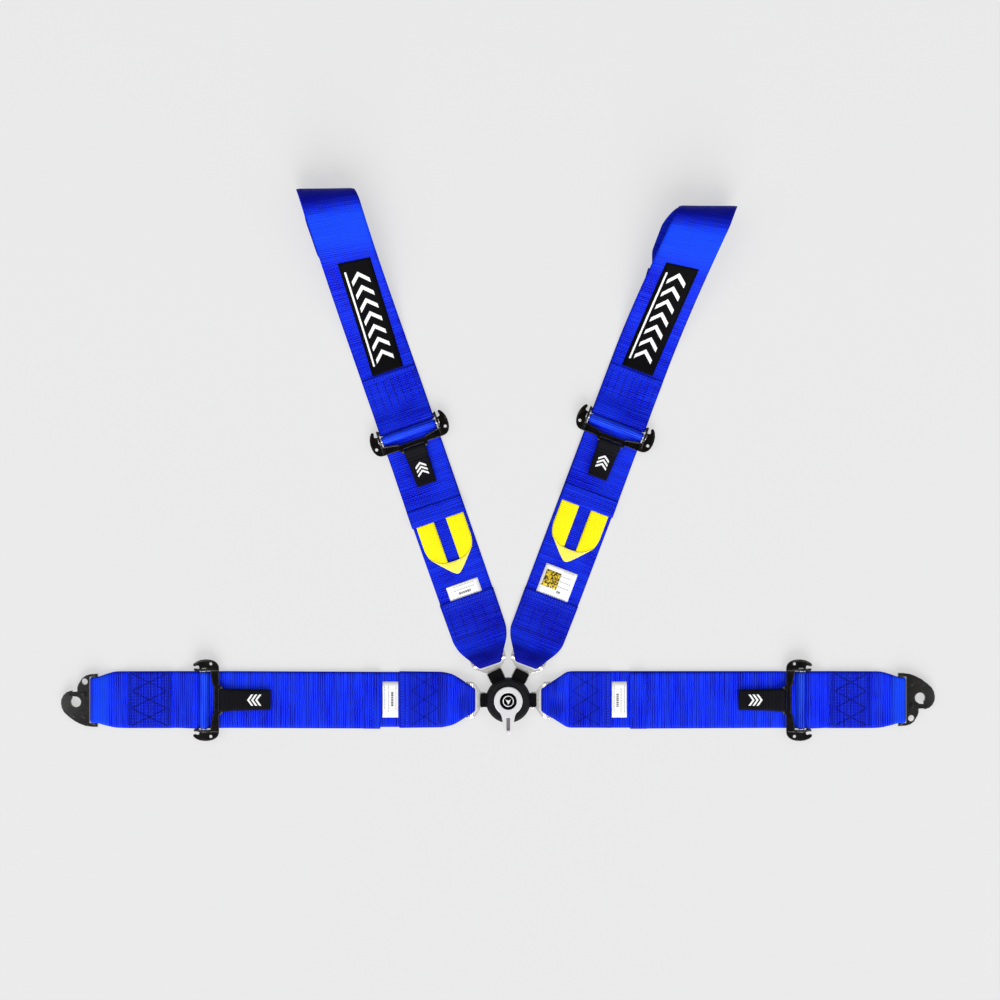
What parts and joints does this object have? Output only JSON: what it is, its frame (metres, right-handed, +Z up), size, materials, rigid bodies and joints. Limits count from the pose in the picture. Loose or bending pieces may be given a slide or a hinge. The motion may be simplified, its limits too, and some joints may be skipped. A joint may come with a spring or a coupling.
{
  "type": "racing harness",
  "caption": "Racing harness laid flat: wide blue straps meet at a round buckle with a turning lever, each with a sliding adjuster, pull tab and snap hook for anchoring a driver.",
  "frame": {"origin": "centre of the buckle's back face, which lies on the floor", "axes": "+X to the right along the lap straps, +Y from the buckle towards the shoulder straps' far ends, +Z up from the floor, out of the buckle's dial"},
  "size_m": [1.1691, 0.738, 0.0557],
  "materials": {
    "blue_webbing": "woven polyester webbing with cross ribs",
    "black_steel": "glossy black coated pressed steel",
    "chrome_steel": "bright plated steel",
    "plain_steel": "turned steel",
    "gate_steel": "dark pressed steel",
    "spring_steel": "spring steel",
    "lever_aluminium": "satin silver",
    "black_plastic": "fine matte",
    "cap_plastic": "gloss black with a pale ring mark",
    "pad_rubber": "soft",
    "white_label": "woven label",
    "yellow_ribbon": "woven ribbon",
    "black_ribbon": "woven black ribbon"
  },
  "bodies": {
    "buckle": {"back_pad": "pad_rubber", "buckle_base": "black_plastic", "latch_spring": "spring_steel", "fixed_tongue_pin": "plain_steel", "return_spring": "spring_steel", "dial_cover": "black_plastic", "housing_screws": "plain_steel", "right_lap_tongue": "chrome_steel"},
    "release": {"release_lever": "lever_aluminium", "lever_cap": "cap_plastic", "cam_rotor": "plain_steel", "centre_shaft": "plain_steel"},
    "left_lap_tongue_body": {"left_lap_tongue": "chrome_steel"},
    "left_lap_strap": {"left_lap_lower_webbing": "blue_webbing", "left_lap_label": "white_label"},
    "left_lap_slider": {"left_lap_slide_bar": "plain_steel", "left_lap_roll": "blue_webbing"},
    "left_lap_tail_end": {"left_lap_tail": "blue_webbing"},
    "left_lap_adjuster": {"left_lap_adjuster_frame": "black_steel"},
    "left_lap_tab": {"left_lap_pull_tab": "black_ribbon"},
    "left_lap_anchor_strap": {"left_lap_upper_webbing": "blue_webbing"},
    "left_lap_hook_body": {"left_lap_hook": "black_steel"},
    "left_lap_gate_body": {"left_lap_gate": "gate_steel"},
    "right_lap_strap": {"right_lap_lower_webbing": "blue_webbing", "right_lap_label": "white_label"},
    "right_lap_slider": {"right_lap_slide_bar": "plain_steel", "right_lap_roll": "blue_webbing"},
    "right_lap_tail_end": {"right_lap_tail": "blue_webbing"},
    "right_lap_adjuster": {"right_lap_adjuster_frame": "black_steel"},
    "right_lap_tab": {"right_lap_pull_tab": "black_ribbon"},
    "right_lap_anchor_strap": {"right_lap_upper_webbing": "blue_webbing"},
    "right_lap_hook_body": {"right_lap_hook": "black_steel"},
    "right_lap_gate_body": {"right_lap_gate": "gate_steel"},
    "left_shoulder_tongue_body": {"left_shoulder_tongue": "chrome_steel"},
    "left_shoulder_strap": {"left_shoulder_lower_webbing": "blue_webbing", "left_shoulder_label": "white_label"},
    "left_shoulder_slider": {"left_shoulder_slide_bar": "plain_steel", "left_shoulder_roll": "blue_webbing"},
    "left_shoulder_tail_end": {"left_shoulder_tail": "blue_webbing", "left_shoulder_yellow_loop": "yellow_ribbon"},
    "left_shoulder_adjuster": {"left_shoulder_adjuster_frame": "black_steel"},
    "left_shoulder_tab": {"left_shoulder_pull_tab": "black_ribbon"},
    "left_shoulder_anchor_strap": {"left_shoulder_upper_webbing": "blue_webbing", "left_shoulder_patch": "black_ribbon"},
    "left_shoulder_hook_body": {"left_shoulder_hook": "black_steel"},
    "left_shoulder_gate_body": {"left_shoulder_gate": "gate_steel"},
    "right_shoulder_tongue_body": {"right_shoulder_tongue": "chrome_steel"},
    "right_shoulder_strap": {"right_shoulder_lower_webbing": "blue_webbing", "right_shoulder_label": "white_label"},
    "right_shoulder_slider": {"right_shoulder_slide_bar": "plain_steel", "right_shoulder_roll": "blue_webbing"},
    "right_shoulder_tail_end": {"right_shoulder_tail": "blue_webbing", "right_shoulder_yellow_loop": "yellow_ribbon"},
    "right_shoulder_adjuster": {"right_shoulder_adjuster_frame": "black_steel"},
    "right_shoulder_tab": {"right_shoulder_pull_tab": "black_ribbon"},
    "right_shoulder_anchor_strap": {"right_shoulder_upper_webbing": "blue_webbing", "right_shoulder_patch": "black_ribbon"},
    "right_shoulder_hook_body": {"right_shoulder_hook": "black_steel"},
    "right_shoulder_gate_body": {"right_shoulder_gate": "gate_steel"}
  },
  "joints": [
    {"name": "release_turn", "type": "hinge", "parent": "buckle", "child": "release", "pos_m": [0, 0, 0.0232], "axis": [0, 0, 1], "range_deg": [-60, 60], "stiffness_Nm_per_rad": 0.08, "deforming": ["latch_spring", "return_spring"]},
    {"name": "left_lap_tongue_slide", "type": "slide", "parent": "buckle", "child": "left_lap_tongue_body", "axis": [-1, 0, 0], "range_m": [0, 0.025]},
    {"name": "left_lap_strap_hinge", "type": "hinge", "parent": "left_lap_tongue_body", "child": "left_lap_strap", "pos_m": [-0.049, 0, 0.008], "axis": [0, 1, 0], "range_deg": [0, 60]},
    {"name": "left_lap_length_slide", "type": "slide", "parent": "left_lap_strap", "child": "left_lap_slider", "axis": [-1, 0, 0], "range_m": [0, 0.1], "deforming": ["left_lap_lower_webbing", "left_lap_tail"]},
    {"name": "left_lap_tail_slide", "type": "slide", "parent": "left_lap_slider", "child": "left_lap_tail_end", "axis": [-1, 0, 0], "range_m": [0, 0.1]},
    {"name": "left_lap_adjuster_tilt", "type": "hinge", "parent": "left_lap_slider", "child": "left_lap_adjuster", "pos_m": [-0.4065, 0, 0.011], "axis": [0, -1, 0], "range_deg": [0, 35]},
    {"name": "left_lap_tab_hinge", "type": "hinge", "parent": "left_lap_adjuster", "child": "left_lap_tab", "pos_m": [-0.383, 0, 0.01015], "axis": [0, -1, 0], "range_deg": [0, 100]},
    {"name": "left_lap_anchor_hinge", "type": "hinge", "parent": "left_lap_adjuster", "child": "left_lap_anchor_strap", "pos_m": [-0.417, 0, 0.0055], "axis": [0, 1, 0], "range_deg": [0, 60]},
    {"name": "left_lap_hook_hinge", "type": "hinge", "parent": "left_lap_anchor_strap", "child": "left_lap_hook_body", "pos_m": [-0.5535, 0, 0.006], "axis": [0, 1, 0], "range_deg": [0, 60]},
    {"name": "left_lap_gate_hinge", "type": "hinge", "parent": "left_lap_hook_body", "child": "left_lap_gate_body", "pos_m": [-0.568, 0.0075, 0.0097], "axis": [0, 0, 1], "range_deg": [0, 25], "stiffness_Nm_per_rad": 0.02},
    {"name": "right_lap_strap_hinge", "type": "hinge", "parent": "buckle", "child": "right_lap_strap", "pos_m": [0.049, 0, 0.008], "axis": [0, -1, 0], "range_deg": [0, 60]},
    {"name": "right_lap_length_slide", "type": "slide", "parent": "right_lap_strap", "child": "right_lap_slider", "axis": [1, 0, 0], "range_m": [0, 0.095], "deforming": ["right_lap_lower_webbing", "right_lap_tail"]},
    {"name": "right_lap_tail_slide", "type": "slide", "parent": "right_lap_slider", "child": "right_lap_tail_end", "axis": [1, 0, 0], "range_m": [0, 0.095]},
    {"name": "right_lap_adjuster_tilt", "type": "hinge", "parent": "right_lap_slider", "child": "right_lap_adjuster", "pos_m": [0.3915, 0, 0.011], "axis": [0, 1, 0], "range_deg": [0, 35]},
    {"name": "right_lap_tab_hinge", "type": "hinge", "parent": "right_lap_adjuster", "child": "right_lap_tab", "pos_m": [0.368, 0, 0.01015], "axis": [0, 1, 0], "range_deg": [0, 100]},
    {"name": "right_lap_anchor_hinge", "type": "hinge", "parent": "right_lap_adjuster", "child": "right_lap_anchor_strap", "pos_m": [0.402, 0, 0.0055], "axis": [0, -1, 0], "range_deg": [0, 60]},
    {"name": "right_lap_hook_hinge", "type": "hinge", "parent": "right_lap_anchor_strap", "child": "right_lap_hook_body", "pos_m": [0.526, 0, 0.006], "axis": [0, -1, 0], "range_deg": [0, 60]},
    {"name": "right_lap_gate_hinge", "type": "hinge", "parent": "right_lap_hook_body", "child": "right_lap_gate_body", "pos_m": [0.5405, -0.0075, 0.0097], "axis": [0, 0, 1], "range_deg": [0, 25], "stiffness_Nm_per_rad": 0.02},
    {"name": "left_shoulder_tongue_slide", "type": "slide", "parent": "buckle", "child": "left_shoulder_tongue_body", "axis": [-0.4472, 0.8944, 0], "range_m": [0, 0.025]},
    {"name": "left_shoulder_strap_hinge", "type": "hinge", "parent": "left_shoulder_tongue_body", "child": "left_shoulder_strap", "pos_m": [-0.0255, 0.051, 0.008], "axis": [0.9441, 0.3297, 0], "range_deg": [0, 60]},
    {"name": "left_shoulder_length_slide", "type": "slide", "parent": "left_shoulder_strap", "child": "left_shoulder_slider", "axis": [-0.3297, 0.9441, 0], "range_m": [-0.005, 0.035], "deforming": ["left_shoulder_lower_webbing", "left_shoulder_tail"]},
    {"name": "left_shoulder_tail_slide", "type": "slide", "parent": "left_shoulder_slider", "child": "left_shoulder_tail_end", "axis": [-0.3297, 0.9441, 0], "range_m": [-0.005, 0.035]},
    {"name": "left_shoulder_adjuster_tilt", "type": "hinge", "parent": "left_shoulder_slider", "child": "left_shoulder_adjuster", "pos_m": [-0.13298, 0.35877, 0.011], "axis": [-0.9441, -0.3297, 0], "range_deg": [0, 35]},
    {"name": "left_shoulder_tab_hinge", "type": "hinge", "parent": "left_shoulder_adjuster", "child": "left_shoulder_tab", "pos_m": [-0.12523, 0.33659, 0.01015], "axis": [-0.9441, -0.3297, 0], "range_deg": [0, 100]},
    {"name": "left_shoulder_anchor_hinge", "type": "hinge", "parent": "left_shoulder_adjuster", "child": "left_shoulder_anchor_strap", "pos_m": [-0.13644, 0.36869, 0.0055], "axis": [0.9441, 0.3297, 0], "range_deg": [0, 60]},
    {"name": "left_shoulder_hook_hinge", "type": "hinge", "parent": "left_shoulder_anchor_strap", "child": "left_shoulder_hook_body", "pos_m": [-0.21016, 0.57978, 0.006], "axis": [0.9441, 0.3297, 0], "range_deg": [0, 60]},
    {"name": "left_shoulder_gate_hinge", "type": "hinge", "parent": "left_shoulder_hook_body", "child": "left_shoulder_gate_body", "pos_m": [-0.21246, 0.56362, 0.0097], "axis": [0, 0, 1], "range_deg": [0, 25], "stiffness_Nm_per_rad": 0.02},
    {"name": "right_shoulder_tongue_slide", "type": "slide", "parent": "buckle", "child": "right_shoulder_tongue_body", "axis": [0.4472, 0.8944, 0], "range_m": [0, 0.025]},
    {"name": "right_shoulder_strap_hinge", "type": "hinge", "parent": "right_shoulder_tongue_body", "child": "right_shoulder_strap", "pos_m": [0.0255, 0.051, 0.008], "axis": [0.9354, -0.3535, 0], "range_deg": [0, 60]},
    {"name": "right_shoulder_length_slide", "type": "slide", "parent": "right_shoulder_strap", "child": "right_shoulder_slider", "axis": [0.3535, 0.9354, 0], "range_m": [-0.004, 0.035], "deforming": ["right_shoulder_lower_webbing", "right_shoulder_tail"]},
    {"name": "right_shoulder_tail_slide", "type": "slide", "parent": "right_shoulder_slider", "child": "right_shoulder_tail_end", "axis": [0.3535, 0.9354, 0], "range_m": [-0.004, 0.035]},
    {"name": "right_shoulder_adjuster_tilt", "type": "hinge", "parent": "right_shoulder_slider", "child": "right_shoulder_adjuster", "pos_m": [0.14427, 0.36531, 0.011], "axis": [-0.9354, 0.3535, 0], "range_deg": [0, 35]},
    {"name": "right_shoulder_tab_hinge", "type": "hinge", "parent": "right_shoulder_adjuster", "child": "right_shoulder_tab", "pos_m": [0.13596, 0.34333, 0.01015], "axis": [-0.9354, 0.3535, 0], "range_deg": [0, 100]},
    {"name": "right_shoulder_anchor_hinge", "type": "hinge", "parent": "right_shoulder_adjuster", "child": "right_shoulder_anchor_strap", "pos_m": [0.14798, 0.37513, 0.0055], "axis": [0.9354, -0.3535, 0], "range_deg": [0, 60]},
    {"name": "right_shoulder_hook_hinge", "type": "hinge", "parent": "right_shoulder_anchor_strap", "child": "right_shoulder_hook_body", "pos_m": [0.21853, 0.56185, 0.006], "axis": [0.9354, -0.3535, 0], "range_deg": [0, 60]},
    {"name": "right_shoulder_gate_hinge", "type": "hinge", "parent": "right_shoulder_hook_body", "child": "right_shoulder_gate_body", "pos_m": [0.20639, 0.55093, 0.0097], "axis": [0, 0, 1], "range_deg": [0, 25], "stiffness_Nm_per_rad": 0.02}
  ],
  "couplings": [
    {"joint": "left_lap_tail_slide", "follows": "left_lap_length_slide", "ratio": 1},
    {"joint": "right_lap_tail_slide", "follows": "right_lap_length_slide", "ratio": 1},
    {"joint": "left_shoulder_tail_slide", "follows": "left_shoulder_length_slide", "ratio": 1},
    {"joint": "right_shoulder_tail_slide", "follows": "right_shoulder_length_slide", "ratio": 1}
  ]
}
